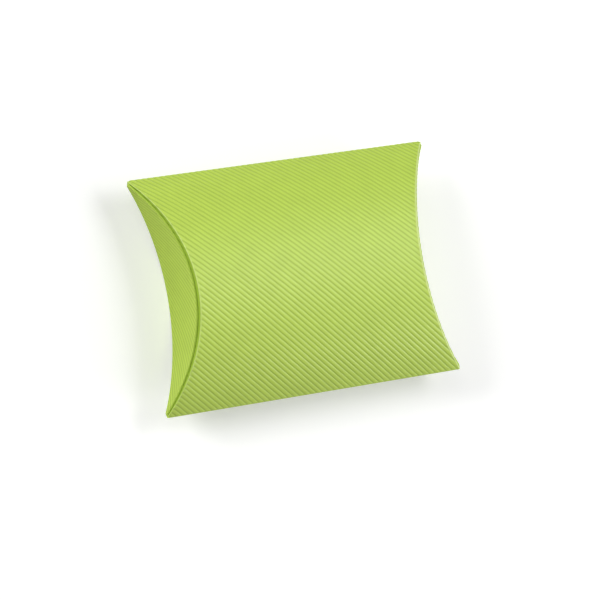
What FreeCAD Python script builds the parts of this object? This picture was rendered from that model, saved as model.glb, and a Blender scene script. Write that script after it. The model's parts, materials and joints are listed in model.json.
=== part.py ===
"""Pillow box: a folded card sleeve with a convex front and back, closed at each end by two concave flaps.

Frame: millimetres, +Z up. The box lies on the crown of its back panel. X runs along the side folds,
Y across the box from fold to fold, and the origin is under the middle of the box, on the table.
Every panel is bent to one radius. The front and back are lying cylinders and the end flaps standing
ones of the same radius, so each curved crease lies in a plane at 45 degrees, as in the real fold.
"""
import FreeCAD
import Part
import os

# Driving dimensions, in millimetres, with what each one sets.
SIZES = [
    ("fold_length", 100.0, "side fold from corner to corner, before the corners are nipped"),
    ("box_width", 73.0, "fold to fold, across the erected box"),
    ("box_thickness", 25.0, "crown of the front to crown of the back"),
    ("card", 0.5, "caliper of the embossed card"),
    ("layer_gap", 0.2, "clearance between layers of card that move on each other"),
    ("crease_leg", 0.8, "card on each side of an end crease that bends with it"),
    ("fold_leg", 1.5, "depth of a side fold, across the box"),
    ("corner_nip", 1.2, "taken off each end of the side folds by the cutting die"),
    ("reveal", 1.6, "outer flap stops this far below the front crease"),
    ("inner_reach", 13.5, "inner flap from its crease to its straight edge"),
    ("tab_width", 10.0, "glue tab, from the seam"),
    ("tab_end_clear", 3.0, "glue tab ends this far inside the inner flaps"),
    ("glue_film", 0.1, "thickness of the glue line"),
    ("glue_margin", 1.5, "bare border of the tab round the glue line"),
    ("overrun", 5.0, "how far every cutting shape runs past what it cuts"),
]

# Lengths worked out from the driving dimensions.
WORKED = [
    ("half_width", "Sizes.box_width / 2"),
    ("half_height", "Sizes.box_thickness / 2"),
    ("bend", "(half_width ^ 2 + half_height ^ 2) / Sizes.box_thickness"),
    ("card_aslant", "Sizes.card * bend / (bend - half_height)"),
    ("flap_step", "card_aslant + Sizes.layer_gap"),
    ("inner_axis", "Sizes.fold_length / 2 - half_height + bend"),
    ("outer_axis", "inner_axis + flap_step"),
    ("front_axis", "Sizes.box_thickness - bend"),
    ("back_axis", "bend"),
    ("fold_start", "half_width - Sizes.fold_leg"),
    ("flap_end", "fold_start - Sizes.layer_gap"),
    ("fold_half", "Sizes.fold_length / 2 - Sizes.corner_nip"),
    ("tab_outer", "bend - Sizes.card - Sizes.glue_film"),
    ("tab_start", "half_width - Sizes.tab_width"),
    ("cut_half", "Sizes.fold_length / 2 + Sizes.overrun"),
    ("cut_wide", "half_width + Sizes.overrun"),
    ("cut_top", "Sizes.box_thickness + Sizes.overrun"),
]

SIDES = (("left", -1), ("right", 1))

doc = FreeCAD.newDocument("PillowBox")


def fill_sheets():
    """Writes the driving dimensions to one sheet and the worked lengths to another."""
    sizes = doc.addObject("Spreadsheet::Sheet", "Sizes")
    for row, (name, value, meaning) in enumerate(SIZES, start=1):
        sizes.set(f"A{row}", str(value))
        sizes.setAlias(f"A{row}", name)
        sizes.set(f"B{row}", meaning)
    doc.recompute()
    worked = doc.addObject("Spreadsheet::Sheet", "Worked")
    for row, (name, formula) in enumerate(WORKED, start=1):
        worked.set(f"A{row}", "=" + formula)
        worked.setAlias(f"A{row}", name)
    doc.recompute()


def bind(item, **formulas):
    """Binds properties of an object to formulas over the sheets."""
    for path, formula in formulas.items():
        item.setExpression(path.replace("__", "."), formula)
    return item


def lying_cylinder(name, radius, height):
    """A cylinder along X, past both ends of the box, with its axis at that height."""
    rod = doc.addObject("Part::Cylinder", name)
    rod.Placement.Rotation = FreeCAD.Rotation(FreeCAD.Vector(0, 1, 0), 90)
    return bind(rod, Radius=radius, Height="2 * Worked.cut_half",
                Placement__Base__x="-Worked.cut_half", Placement__Base__z=height)


def standing_cylinder(name, radius, across):
    """A cylinder along Z, past the top and bottom of the box, with its axis at that X."""
    post = doc.addObject("Part::Cylinder", name)
    return bind(post, Radius=radius, Height="Worked.cut_top + Sizes.overrun",
                Placement__Base__x=across, Placement__Base__z="-Sizes.overrun")


def block(name, low, high):
    """A box between two corners, each given as three formulas."""
    solid = doc.addObject("Part::Box", name)
    for size, axis, start, end in zip(("Length", "Width", "Height"), "xyz", low, high):
        bind(solid, **{size: f"({end}) - ({start})", f"Placement__Base__{axis}": start})
    return solid


def boolean(kind, name, base, tool):
    """A Part boolean of two objects: Cut, Common or Fuse."""
    result = doc.addObject("Part::" + kind, name)
    result.Base = base
    result.Tool = tool
    return result


def cut(name, base, *tools):
    """The base less each tool in turn."""
    for number, tool in enumerate(tools, start=1):
        base = boolean("Cut", f"{name}_cut{number}", base, tool)
    return base


def common(name, base, *tools):
    """What the base shares with every tool."""
    for number, tool in enumerate(tools, start=1):
        base = boolean("Common", f"{name}_common{number}", base, tool)
    return base


pieces = []


def piece(label, solid):
    """Keeps a finished sub-part under its own label."""
    solid.Label = label
    pieces.append(solid)
    return solid


fill_sheets()

# The two faces of each panel, as cylinders that the pieces are cut from.
front_outer = lying_cylinder("front_outer", "Worked.bend", "Worked.front_axis")
front_inner = lying_cylinder("front_inner", "Worked.bend - Sizes.card", "Worked.front_axis")
back_outer = lying_cylinder("back_outer", "Worked.bend", "Worked.back_axis")
back_inner = lying_cylinder("back_inner", "Worked.bend - Sizes.card", "Worked.back_axis")
tab_outer = lying_cylinder("tab_outer", "Worked.tab_outer", "Worked.front_axis")
tab_inner = lying_cylinder("tab_inner", "Worked.tab_outer - Sizes.card", "Worked.front_axis")

front_sheet = cut("front_sheet", front_outer, front_inner)
back_sheet = cut("back_sheet", back_outer, back_inner)
tab_sheet = cut("tab_sheet", tab_outer, tab_inner)
glue_sheet = cut("glue_sheet", front_inner, tab_outer)


def end_cutters(name, axis, inset):
    """The standing cylinders that end a panel at both ends, this far inside its creases."""
    return [
        standing_cylinder(f"{name}_{side}", "Worked.bend", f"{sign} * (Worked.{axis} - ({inset}))")
        for side, sign in SIDES
    ]


# Front panel: from the near fold to its raw edge on the seam.
upper = block("upper", ("-Worked.cut_half", "-Worked.fold_start", "Worked.half_height"),
              ("Worked.cut_half", "Worked.cut_wide", "Worked.cut_top"))
front = common("front", front_sheet, upper)
piece("front_panel", cut("front_panel", front, *end_cutters("front_end", "inner_axis", "Sizes.crease_leg")))

# Back panel: from the near fold to the seam fold.
lower = block("lower", ("-Worked.cut_half", "-Worked.fold_start", "-Sizes.overrun"),
              ("Worked.cut_half", "Worked.fold_start", "Worked.half_height"))
back = common("back", back_sheet, lower)
piece("back_panel", cut("back_panel", back, *end_cutters("back_end", "outer_axis", "Sizes.crease_leg")))


def fold_strip(label, outer_faces, inner_faces, start, end):
    """A V of card along a side fold: the tip of the lens that two sheets enclose, less its hollow."""
    solid = common(label + "_lens", *outer_faces)
    hollow = common(label + "_hollow", *inner_faces)
    span = block(label + "_span", ("-Worked.fold_half", start, "-Sizes.overrun"),
                 ("Worked.fold_half", end, "Worked.cut_top"))
    return piece(label, common(label, cut(label, solid, hollow), span))


# Side fold between front and back, and the seam fold where the back turns into the glue tab.
fold_strip("side_fold", (front_outer, back_outer), (front_inner, back_inner),
           "-Worked.cut_wide", "-Worked.fold_start")
fold_strip("seam_fold", (back_outer, tab_outer), (back_inner, tab_inner),
           "Worked.fold_start", "Worked.cut_wide")

# Glue tab: lies inside the front panel along the seam, and the glue line bonds the two.
tab_span = block("tab_span", ("-Worked.cut_half", "Worked.tab_start", "0"),
                 ("Worked.cut_half", "Worked.fold_start", "Worked.cut_top"))
tab = common("tab", tab_sheet, tab_span)
piece("glue_tab", cut("glue_tab", tab, *end_cutters("tab_end", "inner_axis", "Sizes.tab_end_clear")))

glue_span = block("glue_span",
                  ("-Worked.cut_half", "Worked.tab_start + Sizes.glue_margin", "0"),
                  ("Worked.cut_half", "Worked.fold_start - Sizes.glue_margin", "Worked.cut_top"))
glue = common("glue", glue_sheet, glue_span)
glue_inset = "Sizes.tab_end_clear + Sizes.glue_margin"
piece("glue_line", cut("glue_line", glue, *end_cutters("glue_end", "inner_axis", glue_inset)))

# What bounds the flaps and creases across the box, and the inner flap's straight lower edge.
flap_span = block("flap_span", ("-Worked.cut_half", "-Worked.flap_end", "-Sizes.overrun"),
                  ("Worked.cut_half", "Worked.flap_end", "Worked.cut_top"))
inner_span = block("inner_span",
                   ("-Worked.cut_half", "-Worked.flap_end", "Sizes.box_thickness - Sizes.inner_reach"),
                   ("Worked.cut_half", "Worked.flap_end", "Worked.cut_top"))

# The panels' outer faces moved in by a crease's leg, or by the reveal, bound what hangs below them.
front_at_leg = lying_cylinder("front_at_leg", "Worked.bend", "Worked.front_axis - Sizes.crease_leg")
back_at_leg = lying_cylinder("back_at_leg", "Worked.bend", "Worked.back_axis + Sizes.crease_leg")
front_at_reveal = lying_cylinder("front_at_reveal", "Worked.bend", "Worked.front_axis - Sizes.reveal")
back_clear = lying_cylinder("back_clear", "Worked.bend - Sizes.card - Sizes.layer_gap", "Worked.back_axis")


def end_crease(label, panel_outer, panel_inner, panel_at_leg, flap_outer, flap_inner, flap_at_leg):
    """The bent strip of card along a curved crease: an L whose legs lie in the panel and the flap."""
    corner = cut(label + "_corner", panel_outer, flap_outer)
    hollow = cut(label + "_hollow", panel_inner, flap_inner)
    bent = cut(label + "_bent", corner, hollow, panel_at_leg)
    return piece(label, common(label, bent, flap_at_leg, flap_span))


def flap_faces(name, axis, sign):
    """A flap's outer face, inner face, and outer face moved in by a crease's leg."""
    across = f"{sign} * Worked.{axis}"
    moved = f"{sign} * (Worked.{axis} - Sizes.crease_leg)"
    return (
        standing_cylinder(name + "_outer", "Worked.bend", across),
        standing_cylinder(name + "_inner", "Worked.bend + Sizes.card", across),
        standing_cylinder(name + "_at_leg", "Worked.bend", moved),
    )


for side, sign in SIDES:
    outer, inner, at_leg = flap_faces(side + "_inner_flap", "inner_axis", sign)
    sheet = cut(side + "_inner_sheet", inner, outer)
    end_crease(side + "_inner_crease", front_outer, front_inner, front_at_leg, outer, inner, at_leg)
    piece(side + "_inner_flap", common(side + "_inner_flap", sheet, front_at_leg, back_clear, inner_span))

    outer, inner, at_leg = flap_faces(side + "_outer_flap", "outer_axis", sign)
    sheet = cut(side + "_outer_sheet", inner, outer)
    end_crease(side + "_outer_crease", back_outer, back_inner, back_at_leg, outer, inner, at_leg)
    piece(side + "_outer_flap", common(side + "_outer_flap", sheet, back_at_leg, front_at_reveal, flap_span))

doc.recompute()


def check(items):
    """Stops if any object failed to build, or a piece is null, invalid or has no solid."""
    for item in doc.Objects:
        if any(state in ("Invalid", "Error") for state in item.State):
            raise RuntimeError(f"{item.Name} did not build: {item.State}")
    for item in items:
        shape = item.Shape
        if shape.isNull() or not shape.isValid() or not shape.Solids:
            raise RuntimeError(f"{item.Label} has no valid solid")
        print(item.Label, len(shape.Solids), "solid", round(shape.Volume, 3), "mm3")


check(pieces)
os.makedirs("parts", exist_ok=True)
for item in pieces:
    item.Shape.exportStep(os.path.join("parts", item.Label + ".step"))
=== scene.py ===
import json
import math

import bmesh
import bpy
import numpy as np
from mathutils import Matrix, Vector


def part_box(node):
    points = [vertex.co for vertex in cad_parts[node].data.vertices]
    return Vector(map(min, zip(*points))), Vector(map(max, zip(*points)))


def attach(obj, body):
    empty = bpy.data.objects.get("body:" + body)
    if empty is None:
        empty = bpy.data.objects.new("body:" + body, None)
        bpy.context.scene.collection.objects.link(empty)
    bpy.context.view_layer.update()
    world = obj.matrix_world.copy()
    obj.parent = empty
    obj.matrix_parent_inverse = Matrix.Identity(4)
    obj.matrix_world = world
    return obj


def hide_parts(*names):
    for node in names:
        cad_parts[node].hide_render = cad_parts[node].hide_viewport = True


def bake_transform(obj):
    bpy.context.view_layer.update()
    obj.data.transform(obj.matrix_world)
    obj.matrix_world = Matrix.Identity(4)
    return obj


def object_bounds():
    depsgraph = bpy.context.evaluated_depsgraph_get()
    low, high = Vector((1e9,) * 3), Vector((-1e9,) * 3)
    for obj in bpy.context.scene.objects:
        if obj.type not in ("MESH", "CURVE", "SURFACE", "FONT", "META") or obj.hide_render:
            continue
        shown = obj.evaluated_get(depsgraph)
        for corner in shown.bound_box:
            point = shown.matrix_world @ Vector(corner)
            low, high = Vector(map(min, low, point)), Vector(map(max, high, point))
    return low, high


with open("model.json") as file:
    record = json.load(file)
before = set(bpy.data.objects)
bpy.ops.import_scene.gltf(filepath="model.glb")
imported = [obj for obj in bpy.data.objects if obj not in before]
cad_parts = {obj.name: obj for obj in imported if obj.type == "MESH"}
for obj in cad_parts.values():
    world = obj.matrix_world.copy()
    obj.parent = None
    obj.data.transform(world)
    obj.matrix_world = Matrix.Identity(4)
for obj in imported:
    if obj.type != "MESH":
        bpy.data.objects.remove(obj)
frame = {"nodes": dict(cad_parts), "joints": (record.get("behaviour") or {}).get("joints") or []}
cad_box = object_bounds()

bl_info = {
    "name": "Pillow box",
    "version": (1, 0, 0),
    "blender": (4, 5, 0),
    "location": "View3D > Sidebar > Pillow box",
    "description": "Dresses a folded pillow box in reeded card, with flaps that bend at curved creases",
    "category": "Add Mesh",
}

MM = 0.001
SIDES = (("left", -1), ("right", 1))
ROOT_HALF = math.sqrt(0.5)

# Steps of a sheet along each of its ribs, and of a flap around its crease and past it.
PANEL_STEPS = 52
FOLD_STEPS = 24
TAB_STEPS = 16
TURN_STEPS = 8
FLAP_STEPS = 15

# Lines of a sheet in each rib, from one groove to the next: closest beside the grooves, which are sharp.
RIB_PHASES = (0.0, 0.08, 0.25, 0.5, 0.75, 0.92)

# Steps that halve the search for an edge, and the angle past which an edge is shaded sharp.
HALVINGS = 50
SHARP_ANGLE = math.radians(55)

# Inside a bend the card keeps this many thicknesses away from it, and this share of its distance more.
MITRE_CLEAR = 1.36
MITRE_SPREAD = 0.15

# Values between which most of a noise lies.
NOISE_LOW = 0.3
NOISE_HIGH = 0.7

# Each soft box: its bearing from +X and its elevation in degrees, and its power in watts.
LAMPS = {
    "back_left_low": (150, 30, 5.4),
    "back_left_high": (135, 58, 0.8),
    "right_near": (330, 30, 3.1),
    "right_high": (0, 58, 1.5),
    "right_far": (30, 58, 2.0),
}

# Side of the square picture, in pixels.
FRAME_SIDE = 600

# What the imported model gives: the box's outside, where the end creases cross its middle, where the panels
# pass into the folds, and where the flaps and the tab end.
HINGES = {joint["name"]: Vector(joint["pos_m"]) for joint in frame["joints"]}
BOX_WIDTH = cad_box[1].y - cad_box[0].y
BOX_THICKNESS = cad_box[1].z - cad_box[0].z
HALF_LENGTH = cad_box[1].x
HALF_WIDTH = BOX_WIDTH / 2
HALF_HEIGHT = BOX_THICKNESS / 2
FRONT_HALF = HINGES["right_inner_hinge"].x + HALF_HEIGHT
BACK_HALF = HINGES["right_outer_hinge"].x + HALF_HEIGHT
FOLD_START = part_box("back_panel")[1][1]
INNER_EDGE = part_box("right_inner_flap")[0][2]
OUTER_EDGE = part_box("right_outer_flap")[1][2]
REVEAL = BOX_THICKNESS - OUTER_EDGE
TAB_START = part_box("glue_tab")[0][1]
TAB_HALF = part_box("glue_tab")[1][0]

# Every panel is bent to one radius, and ARC is the card from a panel's crown to its fold.
BEND = (HALF_WIDTH ** 2 + HALF_HEIGHT ** 2) / BOX_THICKNESS
ARC = BEND * math.asin(HALF_WIDTH / BEND)


def linear(code):
    """An sRGB hex colour as linear RGB."""
    channels = [int(code[start:start + 2], 16) / 255 for start in (1, 3, 5)]
    return tuple(c / 12.92 if c <= 0.04045 else ((c + 0.055) / 1.055) ** 2.4 for c in channels)


class CardSizes(bpy.types.PropertyGroup):
    """Sizes of the card and its ribs, how its bends are worn, and how an opening flap bends."""

    card: bpy.props.FloatProperty(
        name="Card", description="Caliper of the card over the embossing", default=0.5 * MM, unit="LENGTH")
    rib_pitch: bpy.props.FloatProperty(
        name="Rib pitch", description="From one embossed rib to the next", default=1.375 * MM,
        unit="LENGTH")
    rib_depth: bpy.props.FloatProperty(
        name="Rib depth", description="From a rib's crest to its groove", default=0.12 * MM, unit="LENGTH")
    crease_leg: bpy.props.FloatProperty(
        name="Crease leg", description="Card beside an end crease that bends with it", default=0.8 * MM,
        unit="LENGTH")
    left_round: bpy.props.FloatProperty(
        name="Left rounding", description="Where a left crease starts to turn", default=0.35 * MM,
        unit="LENGTH")
    right_round: bpy.props.FloatProperty(
        name="Right rounding", description="Where a right crease, which is softer, starts to turn",
        default=0.7 * MM, unit="LENGTH")
    # Painted highlight, with some real wear: how far creases and folds pale. The right creases take it in
    # full, standing in for the light that their rounding catches.
    left_wear: bpy.props.FloatProperty(
        name="Left wear", description="How far the left creases and the two folds are worn pale",
        default=0.3, subtype="FACTOR")
    right_wear: bpy.props.FloatProperty(
        name="Right wear", description="How far the right creases are worn pale", default=1.0,
        subtype="FACTOR")
    fold_round: bpy.props.FloatProperty(
        name="Fold rounding", description="Where the side fold starts to turn", default=0.5 * MM,
        unit="LENGTH")
    flat_band: bpy.props.FloatProperty(
        name="Flat band", description="Card over which ribs rise beside a fold, and a flap turns dull",
        default=0.25 * MM, unit="LENGTH")
    tab_drop: bpy.props.FloatProperty(
        name="Tab drop", description="Glue tab below the front panel's outside", default=0.6 * MM,
        unit="LENGTH")
    layer_gap: bpy.props.FloatProperty(
        name="Layer gap", description="Clearance between layers of card", default=0.12 * MM, unit="LENGTH")
    corner_taper: bpy.props.FloatProperty(
        name="Corner taper", description="Height over which the bare strip narrows into the corners",
        default=1.5 * MM, unit="LENGTH")
    inner_spring: bpy.props.FloatProperty(
        name="Inner spring", description="Share of the slack between the flaps that the inner one takes up",
        default=0.85, subtype="FACTOR")
    outer_bend: bpy.props.FloatProperty(
        name="Outer bend", description="How far from its crease an opening outer flap still bends",
        default=12.0 * MM, unit="LENGTH")
    inner_bend: bpy.props.FloatProperty(
        name="Inner bend", description="How far from its crease an opening inner flap still bends",
        default=9.0 * MM, unit="LENGTH")
    corner_ease: bpy.props.FloatProperty(
        name="Corner ease", description="How much more card an opening flap bends over towards its corners",
        default=1.8, subtype="FACTOR")


class CardColours(bpy.types.PropertyGroup):
    """Colours of the card, its edges and the glue, with painted shade in the grooves and on the tucked
    flaps, a painted highlight on the creases, and the cut edge lightened as painted light.
    """

    crest: bpy.props.FloatVectorProperty(
        name="Crest", description="Card on the ribs", subtype="COLOR", default=linear("#B2CC49"))
    # Painted shade: the grooves darken towards this colour, standing in for the shade that falls in them.
    groove: bpy.props.FloatVectorProperty(
        name="Groove", description="Card between the ribs", subtype="COLOR", default=linear("#8AA62C"))
    # Paler colour of a stretched bend, which also serves as the painted highlight along the creases.
    crease: bpy.props.FloatVectorProperty(
        name="Crease", description="Card stretched over a bend", subtype="COLOR", default=linear("#DCE8A6"))
    # Painted shade: the inner flaps' strip beside the outer flap's edge takes this darker colour, standing
    # in for the shade of that recess.
    shaded_tuck: bpy.props.FloatVectorProperty(
        name="Tucked", description="Card of the inner flaps", subtype="COLOR", default=linear("#92B222"))
    inside: bpy.props.FloatVectorProperty(
        name="Inside", description="Plain reverse of the card", subtype="COLOR", default=linear("#A9C352"))
    # Painted light: the pale pulp of the cut edge is made paler still, lifting the shade on the outer flaps'
    # edges.
    edge: bpy.props.FloatVectorProperty(
        name="Cut edge", description="Die-cut edge of the card", subtype="COLOR", default=linear("#BAD653"))
    glue: bpy.props.FloatVectorProperty(
        name="Glue", description="Dried white glue", subtype="COLOR", default=linear("#E4E0D0"))


class StageSettings(bpy.types.PropertyGroup):
    """The camera's place, the lights and the floor."""

    camera_side: bpy.props.FloatProperty(
        name="Camera side", description="Sideways part of the direction to the camera", default=-0.392,
        subtype="FACTOR")
    camera_near: bpy.props.FloatProperty(
        name="Camera near", description="Part of that direction across the box", default=-0.038,
        subtype="FACTOR")
    camera_up: bpy.props.FloatVectorProperty(
        name="Camera up", description="Direction that is up in the picture", default=(0.141, 0.985, 0.101),
        subtype="DIRECTION")
    distance: bpy.props.FloatProperty(
        name="Distance", description="From the camera to the box", default=981 * MM, unit="LENGTH")
    scale: bpy.props.FloatProperty(
        name="Scale", description="Pixels per millimetre at the box", default=3.248)
    centre_x: bpy.props.FloatProperty(
        name="Centre X", description="Pixel column of the box's centre", default=296.6, subtype="PIXEL")
    centre_y: bpy.props.FloatProperty(
        name="Centre Y", description="Pixel row of the box's centre", default=277.0, subtype="PIXEL")
    light: bpy.props.FloatProperty(
        name="Light", description="Strength of all the soft boxes", default=1.0, subtype="FACTOR")
    lamp_distance: bpy.props.FloatProperty(
        name="Lamp distance", description="From the box to each soft box", default=900 * MM, unit="LENGTH")
    lamp_size: bpy.props.FloatProperty(
        name="Lamp size", description="Side of each soft box", default=350 * MM, unit="LENGTH")
    ambient: bpy.props.FloatProperty(
        name="Ambient", description="Strength of the light from all round", default=0.05, subtype="FACTOR")
    paper: bpy.props.FloatVectorProperty(
        name="Paper", description="Paper of the floor", subtype="COLOR", default=linear("#E7E7E7"))
    floor_reach: bpy.props.FloatProperty(
        name="Floor reach", description="From the box to the floor's sides", default=4000 * MM,
        unit="LENGTH")
    floor_near: bpy.props.FloatProperty(
        name="Floor near", description="Floor round the box that keeps its shadow in full",
        default=200 * MM, unit="LENGTH")
    floor_lift: bpy.props.FloatProperty(
        name="Floor lift", description="White added there, as the camera sees it", default=0.32,
        subtype="FACTOR")


def settings():
    """The three groups of settings on the scene."""
    scene = bpy.context.scene
    return scene.pillow_sizes, scene.pillow_colours, scene.pillow_stage


def add(tree, kind, links=None, **values):
    """Adds a node, sets its values, and links or sets its inputs by name or number.

    A number is needed where several inputs have one name: the Mix node's 2 and 3 are the numbers that it
    mixes, and 6 and 7 the colours."""
    node = tree.nodes.new(kind)
    for name, value in values.items():
        setattr(node, name, value)
    for name, value in (links or {}).items():
        if isinstance(value, bpy.types.NodeSocket):
            tree.links.new(value, node.inputs[name])
        else:
            node.inputs[name].default_value = value
    return node


def shaded(name):
    """A new material with its tree emptied, and its output node."""
    material = bpy.data.materials.new(name)
    material.use_nodes = True
    material.node_tree.nodes.clear()
    output = add(material.node_tree, "ShaderNodeOutputMaterial")
    return material, material.node_tree, output


def rgba(colour):
    """A colour with full opacity."""
    return (*colour, 1.0)


WHITE = rgba(linear("#FFFFFF"))


def per_mm(size):
    """The scale of a noise whose blobs are that many millimetres wide."""
    return 1.0 / (size * MM)


def reeded_card():
    """Embossed card, dyed lime green and roller-pressed: satin ribs with painted shade darkening the
    grooves, painted shade on the tucked inner flaps, dull where the flaps are rubbed, the colour paled where
    a bend stretches it and, mostly on the right creases, as a painted highlight, and a faint cloudiness of
    pulp."""
    _, colours, _ = settings()
    material, tree, output = shaded("dyed_reeded_card")
    place = add(tree, "ShaderNodeTexCoord").outputs["Object"]
    groove = add(tree, "ShaderNodeAttribute", attribute_name="groove").outputs["Fac"]
    wear = add(tree, "ShaderNodeAttribute", attribute_name="wear").outputs["Fac"]
    tuck = add(tree, "ShaderNodeAttribute", attribute_name="tuck").outputs["Fac"]
    rub = add(tree, "ShaderNodeAttribute", attribute_name="rub").outputs["Fac"]
    pulp = add(tree, "ShaderNodeTexNoise", {"Vector": place, "Scale": per_mm(6.0), "Detail": 3.0})
    fibre = add(tree, "ShaderNodeTexNoise", {"Vector": place, "Scale": per_mm(0.35), "Detail": 2.0})
    # Painted shade: the colour darkens towards the bottom of each groove.
    depth = add(tree, "ShaderNodeMath", {0: groove, 1: groove}, operation="MULTIPLY")
    ribbed = add(tree, "ShaderNodeMix", {
        0: depth.outputs[0], 6: rgba(colours.crest), 7: rgba(colours.groove)}, data_type="RGBA")
    cloud = add(tree, "ShaderNodeMapRange", {
        "Value": pulp.outputs["Fac"], "From Min": NOISE_LOW, "From Max": NOISE_HIGH,
        "To Min": 0.975, "To Max": 1.025})
    clouded = add(tree, "ShaderNodeHueSaturation", {"Value": cloud.outputs[0], "Color": ribbed.outputs[2]})
    # Painted shade on the tucked inner flaps.
    shaded_tuck = add(tree, "ShaderNodeMix", {0: tuck, 6: clouded.outputs[0], 7: rgba(colours.shaded_tuck)},
                 data_type="RGBA")
    # Wear and painted highlight pale the card along the creases and folds.
    paled_by_wear_and_highlight = add(tree, "ShaderNodeMix", {0: wear, 6: shaded_tuck.outputs[2], 7: rgba(colours.crease)},
               data_type="RGBA")
    satin = add(tree, "ShaderNodeMapRange", {
        "Value": fibre.outputs["Fac"], "From Min": NOISE_LOW, "From Max": NOISE_HIGH,
        "To Min": 0.38, "To Max": 0.46})
    dull = 0.8
    rough = add(tree, "ShaderNodeMix", {0: rub, 2: satin.outputs[0], 3: dull})
    grain = add(tree, "ShaderNodeBump", {
        "Height": fibre.outputs["Fac"], "Strength": 0.12, "Distance": 0.02 * MM})
    card = add(tree, "ShaderNodeBsdfPrincipled", {
        "Base Color": paled_by_wear_and_highlight.outputs[2], "Roughness": rough.outputs[0], "Normal": grain.outputs[0],
        "IOR": 1.6})
    tree.links.new(card.outputs[0], output.inputs[0])
    return material


def plain_card(name, colour):
    """Bare pulp of the same dyed card, on its reverse or its die-cut edge: dull, with short fibres."""
    material, tree, output = shaded(name)
    place = add(tree, "ShaderNodeTexCoord").outputs["Object"]
    fibre = add(tree, "ShaderNodeTexNoise", {"Vector": place, "Scale": per_mm(0.5), "Detail": 4.0})
    tone = add(tree, "ShaderNodeMapRange", {
        "Value": fibre.outputs["Fac"], "From Min": NOISE_LOW, "From Max": NOISE_HIGH,
        "To Min": 0.95, "To Max": 1.05})
    toned = add(tree, "ShaderNodeHueSaturation", {"Value": tone.outputs[0], "Color": rgba(colour)})
    felt = add(tree, "ShaderNodeBump", {
        "Height": fibre.outputs["Fac"], "Strength": 0.2, "Distance": 0.03 * MM})
    card = add(tree, "ShaderNodeBsdfPrincipled", {
        "Base Color": toned.outputs[0], "Roughness": 0.85, "Normal": felt.outputs[0], "IOR": 1.45})
    tree.links.new(card.outputs[0], output.inputs[0])
    return material


def dried_glue():
    """White wood glue, dried to a thin film: slightly glossy, unevenly spread."""
    _, colours, _ = settings()
    material, tree, output = shaded("dried_pva_glue")
    place = add(tree, "ShaderNodeTexCoord").outputs["Object"]
    spread = add(tree, "ShaderNodeTexNoise", {"Vector": place, "Scale": per_mm(2.0), "Detail": 2.0})
    rough = add(tree, "ShaderNodeMapRange", {
        "Value": spread.outputs["Fac"], "From Min": NOISE_LOW, "From Max": NOISE_HIGH,
        "To Min": 0.25, "To Max": 0.5})
    film = add(tree, "ShaderNodeBsdfPrincipled", {
        "Base Color": rgba(colours.glue), "Roughness": rough.outputs[0], "IOR": 1.47})
    tree.links.new(film.outputs[0], output.inputs[0])
    return material


def material_named(name, make, *given):
    """The material of that name, made the first time that it is asked for."""
    return bpy.data.materials.get(name) or make(*given)


def card_materials():
    """The card's embossed face, its reverse and its cut edge."""
    _, colours, _ = settings()
    return (
        material_named("dyed_reeded_card", reeded_card),
        material_named("dyed_card_reverse", plain_card, "dyed_card_reverse", colours.inside),
        material_named("dyed_card_edge", plain_card, "dyed_card_edge", colours.edge),
    )


def emboss_tree():
    """Geometry nodes that press round ribs with sharp grooves into a sheet of card.

    Each point's place in the flat sheet says where it lies between two grooves, and the point moves in
    from the card's outside by the depth of the rib there."""
    name = "Reeded emboss"
    if name in bpy.data.node_groups:
        return bpy.data.node_groups[name]
    tree = bpy.data.node_groups.new(name, "GeometryNodeTree")
    inputs = {"Sheet": "Geometry", "Pitch": "Float", "Depth": "Float", "Face": "Material"}
    for label, kind in inputs.items():
        tree.interface.new_socket(label, in_out="INPUT", socket_type="NodeSocket" + kind)
    tree.interface.new_socket("Card", in_out="OUTPUT", socket_type="NodeSocketGeometry")
    given = add(tree, "NodeGroupInput").outputs
    named = "GeometryNodeInputNamedAttribute"
    flat = add(tree, named, {"Name": "flat"}, data_type="FLOAT_VECTOR").outputs["Attribute"]
    outward = add(tree, named, {"Name": "outward"}, data_type="FLOAT_VECTOR").outputs["Attribute"]
    relief = add(tree, named, {"Name": "relief"}, data_type="FLOAT").outputs["Attribute"]
    skin = add(tree, named, {"Name": "skin"}, data_type="BOOLEAN").outputs["Attribute"]
    across = add(tree, "ShaderNodeVectorMath", {0: flat, 1: (ROOT_HALF, ROOT_HALF, 0)},
                 operation="DOT_PRODUCT")
    count = add(tree, "ShaderNodeMath", {0: across.outputs["Value"], 1: given["Pitch"]}, operation="DIVIDE")
    phase = add(tree, "ShaderNodeMath", {0: count.outputs[0]}, operation="FRACT")
    off_crest = add(tree, "ShaderNodeMath", {0: phase.outputs[0], 1: 2.0, 2: -1.0},
                    operation="MULTIPLY_ADD").outputs[0]
    bowl = add(tree, "ShaderNodeMath", {0: off_crest, 1: off_crest}, operation="MULTIPLY")
    groove = add(tree, "ShaderNodeMath", {0: bowl.outputs[0], 1: relief}, operation="MULTIPLY")
    depth = add(tree, "ShaderNodeMath", {0: groove.outputs[0], 1: given["Depth"]}, operation="MULTIPLY")
    inward = add(tree, "ShaderNodeMath", {0: depth.outputs[0], 1: -1.0}, operation="MULTIPLY")
    offset = add(tree, "ShaderNodeVectorMath", {0: outward, "Scale": inward.outputs[0]}, operation="SCALE")
    # The groove profile is stored for the material, which paints shade into the grooves with it.
    kept = add(tree, "GeometryNodeStoreNamedAttribute", {
        "Geometry": given["Sheet"], "Name": "groove", "Value": groove.outputs[0]}, data_type="FLOAT")
    pressed = add(tree, "GeometryNodeSetPosition", {
        "Geometry": kept.outputs[0], "Offset": offset.outputs[0]})
    real = add(tree, "GeometryNodeRealizeInstances", {0: pressed.outputs[0]})
    faced = add(tree, "GeometryNodeSetMaterial", {
        "Geometry": real.outputs[0], "Selection": skin, "Material": given["Face"]})
    add(tree, "NodeGroupOutput", {0: faced.outputs[0]})
    return tree


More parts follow.
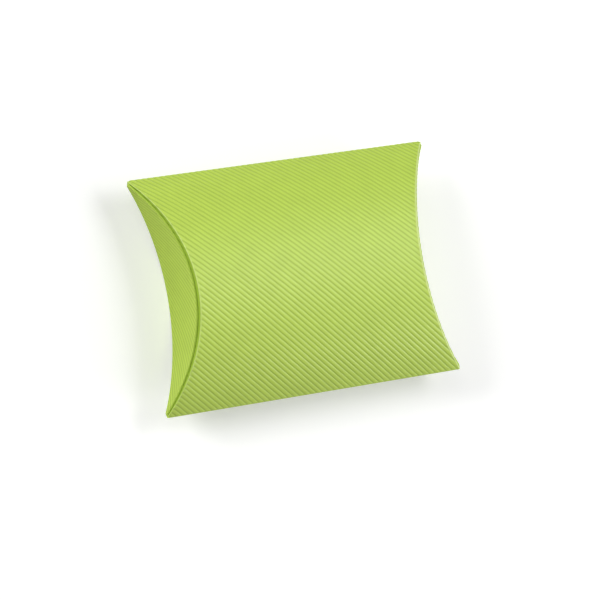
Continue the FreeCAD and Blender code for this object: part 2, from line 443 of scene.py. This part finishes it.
def emboss(blank, name):
    """Runs the emboss over a blank sheet and returns the result as a plain mesh object."""
    sizes, _, _ = settings()
    tree = emboss_tree()
    press = blank.modifiers.new("Emboss", "NODES")
    press.node_group = tree
    values = {"Pitch": sizes.rib_pitch, "Depth": sizes.rib_depth, "Face": card_materials()[0]}
    for socket in tree.interface.items_tree:
        if socket.in_out == "INPUT" and socket.name in values:
            press[socket.identifier] = values[socket.name]
    bpy.context.view_layer.update()
    evaluated = blank.evaluated_get(bpy.context.evaluated_depsgraph_get())
    mesh = bpy.data.meshes.new_from_object(evaluated)
    bpy.data.objects.remove(blank)
    for helper in ("flat", "outward", "relief", "skin"):
        mesh.attributes.remove(mesh.attributes[helper])
    mesh.name = name
    mesh.shade_smooth()
    mesh.set_sharp_from_angle(angle=SHARP_ANGLE)
    piece = bpy.data.objects.new(name, mesh)
    bpy.context.collection.objects.link(piece)
    return piece


def smooth(value, low, high):
    """0 below low, 1 above high, and a smooth step between."""
    share = np.clip((value - low) / (high - low), 0, 1)
    return share * share * (3 - 2 * share)


def rise(s):
    """Height of a bent panel over its folds, at an arc length from its crown."""
    return BEND * np.cos(s / BEND) - (BEND - HALF_HEIGHT)


def across_box(s):
    """Distance across the box at an arc length from a panel's crown."""
    return BEND * np.sin(s / BEND)


def arc_at(y, radius=BEND):
    """Arc length from the crown at a distance across the box."""
    return radius * math.asin(y / radius)


class Sheet:
    """A sheet of card in its own flat coordinates: p along the folds and s across them.

    place(p, s) folds the sheet into the box, lower(s) and upper(s) end it along p, and p_sign, s_sign and
    s_shift carry p and s to the flat blank that all the ribs run across at 45 degrees."""

    def __init__(self, place, lower, upper, reach, outward, p_sign=1, s_sign=1, s_shift=0.0):
        self.place = place
        self.lower = lower
        self.upper = upper
        self.reach = reach
        self.outward = np.array(outward)
        self.p_sign = p_sign
        self.s_sign = s_sign
        self.s_shift = s_shift

    def flat(self, p, s):
        """Where a point of the sheet lies in the flat blank."""
        return self.p_sign * p, self.s_sign * s + self.s_shift

    def face(self, p, s):
        """Points of the folded sheet's outside, and the directions straight out of it."""
        step = 0.01 * MM
        along = np.stack(self.place(p + step, s)) - np.stack(self.place(p - step, s))
        around = np.stack(self.place(p, s + step)) - np.stack(self.place(p, s - step))
        normal = np.cross(along, around, axis=0)
        normal /= np.linalg.norm(normal, axis=0)
        if np.median(np.tensordot(self.outward, normal, axes=1)) < 0:
            normal = -normal
        return np.stack(self.place(p, s)), normal

    def crossing(self, edge, start, lean):
        """The s at which each line p = start + lean * s crosses an edge, kept inside the sheet's reach."""
        low = np.full(start.shape, self.reach[0])
        high = np.full(start.shape, self.reach[1])
        for _ in range(HALVINGS):
            middle = (low + high) / 2
            short = (start + lean * middle - edge(middle)) * lean < 0
            low = np.where(short, middle, low)
            high = np.where(short, high, middle)
        return (low + high) / 2

    def corners(self):
        """How far across the ribs each corner of the sheet lies."""
        ends = [(edge(np.array(s)), s) for edge in (self.lower, self.upper) for s in self.reach]
        return [float(sum(self.flat(p, s))) * ROOT_HALF for p, s in ends]

    def lines(self, pitch):
        """Lines along the ribs, with several in each rib and one through each corner."""
        corners = self.corners()
        first, last = min(corners), max(corners)
        ribs = range(math.floor(first / pitch), math.ceil(last / pitch))
        across = [(rib + phase) * pitch for rib in ribs for phase in RIB_PHASES]
        return np.array(sorted({c for c in across if first < c < last} | set(corners)))

    def grid(self, pitch, stations, crease=None):
        """Points of the sheet on lines along the ribs: at even shares of each line, or, where a crease is
        given, at set distances past it."""
        across = self.lines(pitch)
        lean = -self.p_sign * self.s_sign
        start = self.p_sign * (across / ROOT_HALF - self.s_shift)
        ends = self.crossing(self.lower, start, lean), self.crossing(self.upper, start, lean)
        first, last = np.minimum(*ends), np.maximum(*ends)
        if crease is None:
            shares = np.linspace(0, 1, stations + 1)
            s = first[:, None] + (last - first)[:, None] * shares
        else:
            columns = [self.crossing(lambda s: crease(s) + past, start, lean) for past in stations]
            s = np.clip(np.stack(columns, axis=1), first[:, None], last[:, None])
        return start[:, None] + lean * s, s


def mitred(past, thickness):
    """Distances from a bend, kept clear of it on the inside, where the card's two legs meet in a corner."""
    clear = MITRE_CLEAR * thickness + MITRE_SPREAD * np.abs(past)
    return np.where(past < 0, -1, 1) * np.maximum(np.abs(past), clear)


def sheet_object(name, sheet, pitch, thickness, stations, crease=None, inner=None, **masks):
    """Builds a sheet as a closed solid of card, with what its emboss, bend and material read on its points.

    inner gives the points of the sheet that its reverse lies under, where those differ. masks give relief,
    which is 1 where the ribs stand in full, and for the material the crease paling of wear and painted
    highlight, the painted shade of the tucked flaps, and rub."""
    p, s = sheet.grid(pitch, stations, crease)
    face, normal = sheet.face(p, s)
    under, under_normal = sheet.face(*inner(p, s)) if inner else (face, normal)
    rows, columns = p.shape
    count = rows * columns
    points = np.concatenate([face.reshape(3, -1).T, (under - thickness * under_normal).reshape(3, -1).T])
    index = np.arange(count).reshape(rows, columns)
    quads = np.stack([index[:-1, :-1], index[1:, :-1], index[1:, 1:], index[:-1, 1:]], axis=-1)
    quads = quads.reshape(-1, 4)
    border = np.concatenate([index[:, 0], index[-1, 1:], index[-2::-1, -1], index[0, -2::-1]])
    walls = np.stack([border[:-1], border[1:], border[1:] + count, border[:-1] + count], axis=-1)
    faces = np.concatenate([quads, quads[:, ::-1] + count, walls[:, ::-1]])
    across = np.cross(face[:, 1:, :-1] - face[:, :-1, :-1], face[:, :-1, 1:] - face[:, :-1, :-1], axis=0)
    if np.sum(across * normal[:, :-1, :-1]) < 0:
        faces = faces[:, ::-1]
    mesh = bpy.data.meshes.new(name + "_blank")
    mesh.from_pydata(points.tolist(), [], faces.tolist())
    flat = np.stack([*sheet.flat(p, s), np.zeros_like(p)], axis=-1).reshape(-1, 3)
    outward = normal.reshape(3, -1).T
    skin = points[:count]
    both_sides = {"flat": (flat, flat), "outward": (outward, -outward), "face": (skin, skin)}
    store = mesh.attributes.new
    for helper, values in both_sides.items():
        store(helper, "FLOAT_VECTOR", "POINT").data.foreach_set("vector", np.concatenate(values).ravel())
    for mask, plain in (("relief", 1.0), ("wear", 0.0), ("tuck", 0.0), ("rub", 0.0)):
        values = masks[mask](p, s) if mask in masks else np.full(p.shape, plain)
        reverse = np.zeros(count)
        store(mask, "FLOAT", "POINT").data.foreach_set("value", np.concatenate([values.ravel(), reverse]))
    layers = np.repeat([0, 1, 2], [len(quads), len(quads), len(walls)])
    store("skin", "BOOLEAN", "FACE").data.foreach_set("value", layers == 0)
    for material in card_materials():
        mesh.materials.append(material)
    mesh.polygons.foreach_set("material_index", layers.astype(np.int32))
    same_place = 0.001 * MM
    merged = bmesh.new()
    merged.from_mesh(mesh)
    bmesh.ops.remove_doubles(merged, verts=merged.verts, dist=same_place)
    merged.to_mesh(mesh)
    merged.free()
    blank = bpy.data.objects.new(name + "_blank", mesh)
    bpy.context.collection.objects.link(blank)
    return emboss(blank, name)


def finish_piece(piece, body, *nodes):
    """Fixes a finished piece to a body, in place of the nodes that it stands for."""
    piece.data.attributes.remove(piece.data.attributes["face"])
    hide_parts(*nodes)
    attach(piece, body)


def bend_as_one(piece, start, end):
    """Works out each point's share of the way along the hinge's ramp by the place of its face, so that both
    sides of the card would turn alike, but puts the points back as they were: only the piece's transform is
    baked and its face attribute removed.

    Towards the corners the crease lies further and further from the hinge's line. The share is spread over
    more card there, because the card would fold through itself otherwise."""
    sizes, _, _ = settings()
    points, face = piece.data.vertices, piece.data.attributes["face"]
    shape, skin = np.empty(3 * len(points)), np.empty(3 * len(points))
    points.foreach_get("co", shape)
    face.data.foreach_get("vector", skin)
    skin = skin.reshape(-1, 3)
    ramp = np.array(end) - np.array(start)
    length = np.linalg.norm(ramp)
    share = (skin - np.array(start)) @ ramp / length ** 2
    # The crease lies in a plane at 45 degrees, and the hinge's line touches it in the middle.
    lever = (BEND - np.sqrt(BEND ** 2 - skin[:, 1] ** 2)) / ROOT_HALF
    share /= np.hypot(1, sizes.corner_ease * lever / length)
    points.foreach_set("co", (np.array(start) + share[:, None] * ramp).ravel())
    piece.data.attributes.remove(face)
    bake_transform(piece)
    points.foreach_set("co", shape)
    piece.data.update()


def front_skin(x, s):
    """A point on the outside of the front."""
    return x, across_box(s), HALF_HEIGHT + rise(s)


def back_skin(x, s):
    """A point on the outside of the back."""
    return x, across_box(s), HALF_HEIGHT - rise(s)


def crease_at(half, height):
    """How far along the box an end crease lies, with the very corners blunted."""
    return np.minimum(half - height, HALF_LENGTH)


def creased_sheet(place, half, height, reach, outward, **blank):
    """A sheet between the two end creases, less the legs that bend with them."""
    sizes, _, _ = settings()

    def end(s):
        return crease_at(half(s), height(s)) - sizes.crease_leg

    return Sheet(place, lambda s: -end(s), end, reach, outward, **blank)


class PILLOW_OT_front_panel(bpy.types.Operator):
    """Makes the convex front, from the near fold to its raw edge on the seam"""

    bl_idname = "pillow.front_panel"
    bl_label = "Front panel"

    def execute(self, context):
        sizes, _, _ = settings()
        sheet = creased_sheet(front_skin, lambda s: FRONT_HALF, rise, (-arc_at(FOLD_START), ARC), (0, 0, 1))
        piece = sheet_object("front_panel_card", sheet, sizes.rib_pitch, sizes.card, PANEL_STEPS)
        finish_piece(piece, "sleeve", "front_panel")
        return {"FINISHED"}


class PILLOW_OT_back_panel(bpy.types.Operator):
    """Makes the convex back that the box lies on"""

    bl_idname = "pillow.back_panel"
    bl_label = "Back panel"

    def execute(self, context):
        sizes, _, _ = settings()
        reach = (-arc_at(FOLD_START), arc_at(FOLD_START))
        sheet = creased_sheet(back_skin, lambda s: BACK_HALF, rise, reach, (0, 0, -1), s_sign=-1,
                              s_shift=-2 * ARC)
        piece = sheet_object("back_panel_card", sheet, sizes.rib_pitch, sizes.card, PANEL_STEPS)
        finish_piece(piece, "sleeve", "back_panel")
        return {"FINISHED"}


def rounded_fold(first, second, rounding):
    """Joins two skins, each by its distance from the fold, with the fold's tip rounded off."""

    def place(x, past):
        start = np.stack(np.broadcast_arrays(*first(x, np.maximum(-past, rounding))))
        end = np.stack(np.broadcast_arrays(*second(x, np.maximum(past, rounding))))
        tip = np.stack(np.broadcast_arrays(*first(x, 0 * past)))
        share = np.clip((past + rounding) / (2 * rounding), 0, 1)
        return tuple((1 - share) ** 2 * start + 2 * share * (1 - share) * tip + share ** 2 * end)

    return place


class TabPath:
    """The bent line of the glue tab, which runs inside the front and meets the back in the seam's tip."""

    def __init__(self, drop):
        # The two arcs meet a dip below the folds' height, which brings the tip in a little.
        dip = drop * BEND / (BEND - HALF_HEIGHT) / 2
        tip = HALF_WIDTH - dip * (BEND - HALF_HEIGHT) / HALF_WIDTH
        self.bend = BEND - drop
        self.tab_end = arc_at(tip, self.bend)
        self.back_end = arc_at(tip)

    def skin(self, x, d):
        """A point on the outside of the tab, at a distance from the seam's tip."""
        turn = (self.tab_end - d) / self.bend
        return x, self.bend * np.sin(turn), BOX_THICKNESS - BEND + self.bend * np.cos(turn)


class PILLOW_OT_folds(bpy.types.Operator):
    """Makes the side fold between front and back, and the seam fold that turns into the glue tab"""

    bl_idname = "pillow.folds"
    bl_label = "Side and seam folds"

    def execute(self, context):
        sizes, _, _ = settings()
        leg = ARC - arc_at(FOLD_START)
        pressed = 0.4 * sizes.flat_band
        seam_round = 0.5 * sizes.fold_round

        def relief(p, past):
            return smooth(np.abs(past), pressed, sizes.flat_band)

        # The folds pale a little: some wear, partly a painted highlight.
        def wear(p, past):
            return sizes.left_wear * np.exp(-(past / sizes.flat_band) ** 2)

        def inner(p, past):
            return p, mitred(past, sizes.card)

        place = rounded_fold(
            lambda x, d: back_skin(x, d - ARC), lambda x, d: front_skin(x, d - ARC), sizes.fold_round)
        sheet = creased_sheet(place, lambda past: np.where(past < 0, BACK_HALF, FRONT_HALF),
                              lambda past: rise(ARC - np.abs(past)), (-leg, leg), (0, -1, 0), s_shift=-ARC)
        piece = sheet_object("side_fold_card", sheet, sizes.rib_pitch, sizes.card, FOLD_STEPS, inner=inner,
                             relief=relief, wear=wear)
        finish_piece(piece, "sleeve", "side_fold")

        tab = TabPath(sizes.tab_drop)
        place = rounded_fold(tab.skin, lambda x, d: back_skin(x, tab.back_end - d), seam_round)
        reach = (arc_at(FOLD_START, tab.bend) - tab.tab_end, tab.back_end - arc_at(FOLD_START))
        sheet = creased_sheet(place, lambda past: np.where(past < 0, FRONT_HALF, BACK_HALF),
                              lambda past: rise(tab.back_end - np.abs(past)), reach, (0, 1, 0),
                              s_shift=-2 * ARC - tab.back_end)
        piece = sheet_object("seam_fold_card", sheet, sizes.rib_pitch, sizes.card, FOLD_STEPS, inner=inner,
                             relief=relief, wear=wear)
        finish_piece(piece, "sleeve", "seam_fold")
        return {"FINISHED"}


class PILLOW_OT_glue_tab(bpy.types.Operator):
    """Makes the tab that is glued inside the front panel, along the seam"""

    bl_idname = "pillow.glue_tab"
    bl_label = "Glue tab"

    def execute(self, context):
        sizes, _, _ = settings()
        tab = TabPath(sizes.tab_drop)

        def end(s):
            return TAB_HALF + rise(arc_at(FOLD_START)) - rise(s * BEND / tab.bend)

        sheet = Sheet(lambda x, s: tab.skin(x, tab.tab_end - s), lambda s: -end(s), end,
                      (arc_at(TAB_START, tab.bend), arc_at(FOLD_START, tab.bend)), (0, 0, 1),
                      s_shift=-4 * ARC)
        piece = sheet_object("glue_tab_card", sheet, sizes.rib_pitch, sizes.card, TAB_STEPS)
        finish_piece(piece, "sleeve", "glue_tab")
        return {"FINISHED"}


class PILLOW_OT_glue(bpy.types.Operator):
    """Gives the glue line between the tab and the front panel its finish"""

    bl_idname = "pillow.glue"
    bl_label = "Glue line"

    def execute(self, context):
        film = frame["nodes"]["glue_line"]
        film.data.materials.clear()
        film.data.materials.append(material_named("dried_pva_glue", dried_glue))
        return {"FINISHED"}


def make_flap(name, side, sign, half, upright, edge, reach, spring, bend, **blank):
    """Makes one end flap with its crease: upright is 1 where it stands up from the back and -1 where it
    hangs from the front, edge(s) ends it along the blank, and it runs to reach across the box."""
    sizes, _, _ = settings()
    rounding, paled_by_wear_and_highlight = getattr(sizes, f"{side}_round"), getattr(sizes, f"{side}_wear")
    pressed, faded = 0.5 * rounding, 0.6 * rounding

    def crease(s):
        return half - rise(s)

    def place(p, s):
        past = p - crease(s)
        share = np.clip((past + rounding) / (2 * rounding), 0, 1)
        inset = np.where(past < -rounding, -past, rounding * (1 - share) ** 2)
        slack = BACK_HALF - FRONT_HALF - sizes.card * BEND / np.sqrt(BEND ** 2 - across_box(s) ** 2)
        inset = inset - spring * slack * smooth(past, 0, REVEAL)
        drop = np.where(past > rounding, past, rounding * share ** 2)
        height = HALF_HEIGHT - upright * (rise(s) - drop)
        return sign * (crease_at(half, rise(s)) - inset), across_box(s), height

    def relief(p, s):
        return smooth(np.abs(p - crease(s)), pressed, rounding)

    # Paling at the crease: some wear, and on the right creases a painted highlight.
    def wear(p, s):
        return paled_by_wear_and_highlight * np.exp(-((p - crease(s)) / faded) ** 2)

    def inner(p, s):
        return crease(s) + mitred(p - crease(s), sizes.card), s

    def rub(p, s):
        return smooth(p - crease(s), 0, sizes.flat_band)

    # Painted shade past the crease of an inner flap, where it lies in the recess behind the outer flap.
    def tuck(p, s):
        return rub(p, s) if upright < 0 else 0 * p

    sheet = Sheet(place, lambda s: crease(s) - sizes.crease_leg, edge, (-arc_at(reach), arc_at(reach)),
                  (sign, 0, -upright), p_sign=sign, **blank)
    leg = sizes.crease_leg
    past_edge = 2 * BOX_THICKNESS
    stations = [-leg, *np.linspace(-rounding, rounding, TURN_STEPS + 1),
                *np.linspace(leg, BOX_THICKNESS, FLAP_STEPS + 1), past_edge]
    piece = sheet_object(f"{side}_{name}_flap_card", sheet, sizes.rib_pitch, sizes.card, stations,
                         crease=crease, inner=inner, relief=relief, wear=wear, tuck=tuck, rub=rub)
    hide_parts(f"{side}_{name}_flap", f"{side}_{name}_crease")
    hinge = HINGES[f"{side}_{name}_hinge"]
    inward = Vector((-sign, 0, upright)) * ROOT_HALF
    bend_as_one(piece, tuple(hinge + inward * leg * ROOT_HALF),
                tuple(hinge + inward * bend))


class PILLOW_OT_inner_flaps(bpy.types.Operator):
    """Makes the flap that hangs from the front panel at each end, cut straight along its edge"""

    bl_idname = "pillow.inner_flaps"
    bl_label = "Inner flaps"

    def execute(self, context):
        sizes, _, _ = settings()
        # The edge keeps clear of the back panel's card, which is steepest at the folds.
        below = sizes.card * BEND / (BEND - HALF_HEIGHT) + 2 * sizes.layer_gap

        def edge(s):
            return FRONT_HALF + np.minimum(HALF_HEIGHT - INNER_EDGE, rise(s) - below)

        for side, sign in SIDES:
            make_flap("inner", side, sign, FRONT_HALF, -1, edge, HALF_WIDTH - sizes.layer_gap,
                      sizes.inner_spring, sizes.inner_bend)
        return {"FINISHED"}


class PILLOW_OT_outer_flaps(bpy.types.Operator):
    """Makes the flap that stands up from the back panel at each end and stops short of the front's crease"""

    bl_idname = "pillow.outer_flaps"
    bl_label = "Outer flaps"

    def execute(self, context):
        sizes, _, _ = settings()

        def edge(s):
            return BACK_HALF + rise(s) - REVEAL * (1 - np.exp(-rise(s) / sizes.corner_taper))

        for side, sign in SIDES:
            make_flap("outer", side, sign, BACK_HALF, 1, edge, HALF_WIDTH - 2 * sizes.layer_gap, 0.0,
                      sizes.outer_bend, s_sign=-1, s_shift=-2 * ARC)
        return {"FINISHED"}


def look(place, forward, up):
    """A matrix at a place that faces forward, as a camera or a lamp does."""
    back = -forward.normalized()
    right = up.cross(back).normalized()
    turn = Matrix((right, back.cross(right), back)).transposed()
    return Matrix.Translation(place) @ turn.to_4x4()


def lamp(name, bearing, elevation, power):
    """A square soft box that faces the box, by its bearing from +X and its elevation in degrees."""
    _, _, stage = settings()
    light = bpy.data.lights.new(name, "AREA")
    light.shape = "SQUARE"
    light.size = stage.lamp_size
    light.energy = power * stage.light
    holder = bpy.data.objects.new(name, light)
    turn, tilt = math.radians(bearing), math.radians(elevation)
    toward = Vector((math.cos(tilt) * math.cos(turn), math.cos(tilt) * math.sin(turn), math.sin(tilt)))
    holder.matrix_world = look(toward * stage.lamp_distance, -toward, Vector((0, 0, 1)))
    bpy.context.collection.objects.link(holder)


def shown(tree):
    """1 for rays that show what they meet: the camera's own, and those off gloss or through glass."""
    ray = add(tree, "ShaderNodeLightPath").outputs
    passed = add(tree, "ShaderNodeMath", {0: ray["Is Glossy Ray"], 1: ray["Is Transmission Ray"]},
                 operation="MAXIMUM")
    return add(tree, "ShaderNodeMath", {0: ray["Is Camera Ray"], 1: passed.outputs[0]},
               operation="MAXIMUM").outputs[0]


def studio_floor():
    """White seamless paper: matt, and shown as plain white but for the box's shadow."""
    _, _, stage = settings()
    material, tree, output = shaded("white_backdrop_paper")
    place = add(tree, "ShaderNodeTexCoord").outputs["Object"]
    away = add(tree, "ShaderNodeVectorMath", {0: place}, operation="LENGTH")
    white = add(tree, "ShaderNodeMapRange", {
        "Value": away.outputs["Value"], "From Min": stage.floor_near, "From Max": stage.lamp_distance,
        "To Min": stage.floor_lift, "To Max": 1.0})
    lift = add(tree, "ShaderNodeMath", {0: shown(tree), 1: white.outputs[0]}, operation="MULTIPLY")
    paper = add(tree, "ShaderNodeBsdfDiffuse", {"Color": rgba(stage.paper)})
    glow = add(tree, "ShaderNodeEmission", {"Color": WHITE, "Strength": lift.outputs[0]})
    both = add(tree, "ShaderNodeAddShader", {0: paper.outputs[0], 1: glow.outputs[0]})
    tree.links.new(both.outputs[0], output.inputs[0])
    return material


class PILLOW_OT_stage(bpy.types.Operator):
    """Sets up the floor, the soft light and the camera"""

    bl_idname = "pillow.stage"
    bl_label = "Stage"

    def execute(self, context):
        _, _, stage = settings()
        reach = stage.floor_reach
        corners = [(-reach, -reach, 0), (reach, -reach, 0), (reach, reach, 0), (-reach, reach, 0)]
        mesh = bpy.data.meshes.new("floor")
        mesh.from_pydata(corners, [], [(0, 1, 2, 3)])
        mesh.materials.append(studio_floor())
        floor = bpy.data.objects.new("floor", mesh)
        context.collection.objects.link(floor)

        for name, place in LAMPS.items():
            lamp(name, *place)

        world = bpy.data.worlds.new("studio")
        world.use_nodes = True
        tree = world.node_tree
        tree.nodes.clear()
        level = add(tree, "ShaderNodeMapRange", {
            "Value": shown(tree), "To Min": stage.ambient, "To Max": 1.0})
        sky = add(tree, "ShaderNodeBackground", {"Color": WHITE, "Strength": level.outputs[0]})
        add(tree, "ShaderNodeOutputWorld", {0: sky.outputs[0]})
        context.scene.world = world

        middle = Vector((0, 0, HALF_HEIGHT))
        side, near = stage.camera_side, stage.camera_near
        away = Vector((side, near, math.sqrt(1 - side ** 2 - near ** 2)))
        camera = bpy.data.cameras.new("camera")
        camera.lens = camera.sensor_width * stage.scale * stage.distance / MM / FRAME_SIDE
        holder = bpy.data.objects.new("camera", camera)
        pose = look(middle + away * stage.distance, -away, Vector(stage.camera_up))
        slide = Vector((FRAME_SIDE / 2 - stage.centre_x, stage.centre_y - FRAME_SIDE / 2, 0))
        holder.matrix_world = pose @ Matrix.Translation(slide * MM / stage.scale)
        context.collection.objects.link(holder)
        context.scene.camera = holder
        context.scene.view_settings.view_transform = "Standard"
        return {"FINISHED"}


class PILLOW_PT_panel(bpy.types.Panel):
    """Lists the steps that dress the box, and the values that they read"""

    bl_idname = "PILLOW_PT_panel"
    bl_label = "Pillow box"
    bl_space_type = "VIEW_3D"
    bl_region_type = "UI"
    bl_category = "Pillow box"

    def draw(self, context):
        layout = self.layout
        for operator in OPERATORS:
            layout.operator(operator.bl_idname)
        for group in settings():
            for name in group.__annotations__:
                layout.prop(group, name)


OPERATORS = (
    PILLOW_OT_front_panel,
    PILLOW_OT_back_panel,
    PILLOW_OT_folds,
    PILLOW_OT_glue_tab,
    PILLOW_OT_glue,
    PILLOW_OT_inner_flaps,
    PILLOW_OT_outer_flaps,
    PILLOW_OT_stage,
)
GROUPS = (
    ("pillow_sizes", CardSizes),
    ("pillow_colours", CardColours),
    ("pillow_stage", StageSettings),
)


def register():
    for name, group in GROUPS:
        bpy.utils.register_class(group)
        setattr(bpy.types.Scene, name, bpy.props.PointerProperty(type=group))
    for operator in OPERATORS:
        bpy.utils.register_class(operator)
    bpy.utils.register_class(PILLOW_PT_panel)


def unregister():
    bpy.utils.unregister_class(PILLOW_PT_panel)
    for operator in reversed(OPERATORS):
        bpy.utils.unregister_class(operator)
    for name, group in reversed(GROUPS):
        delattr(bpy.types.Scene, name)
        bpy.utils.unregister_class(group)


def main():
    """Dresses the box."""
    register()
    for operator in OPERATORS:
        group, step = operator.bl_idname.split(".")
        getattr(getattr(bpy.ops, group), step)()


if __name__ == "__main__":
    main()
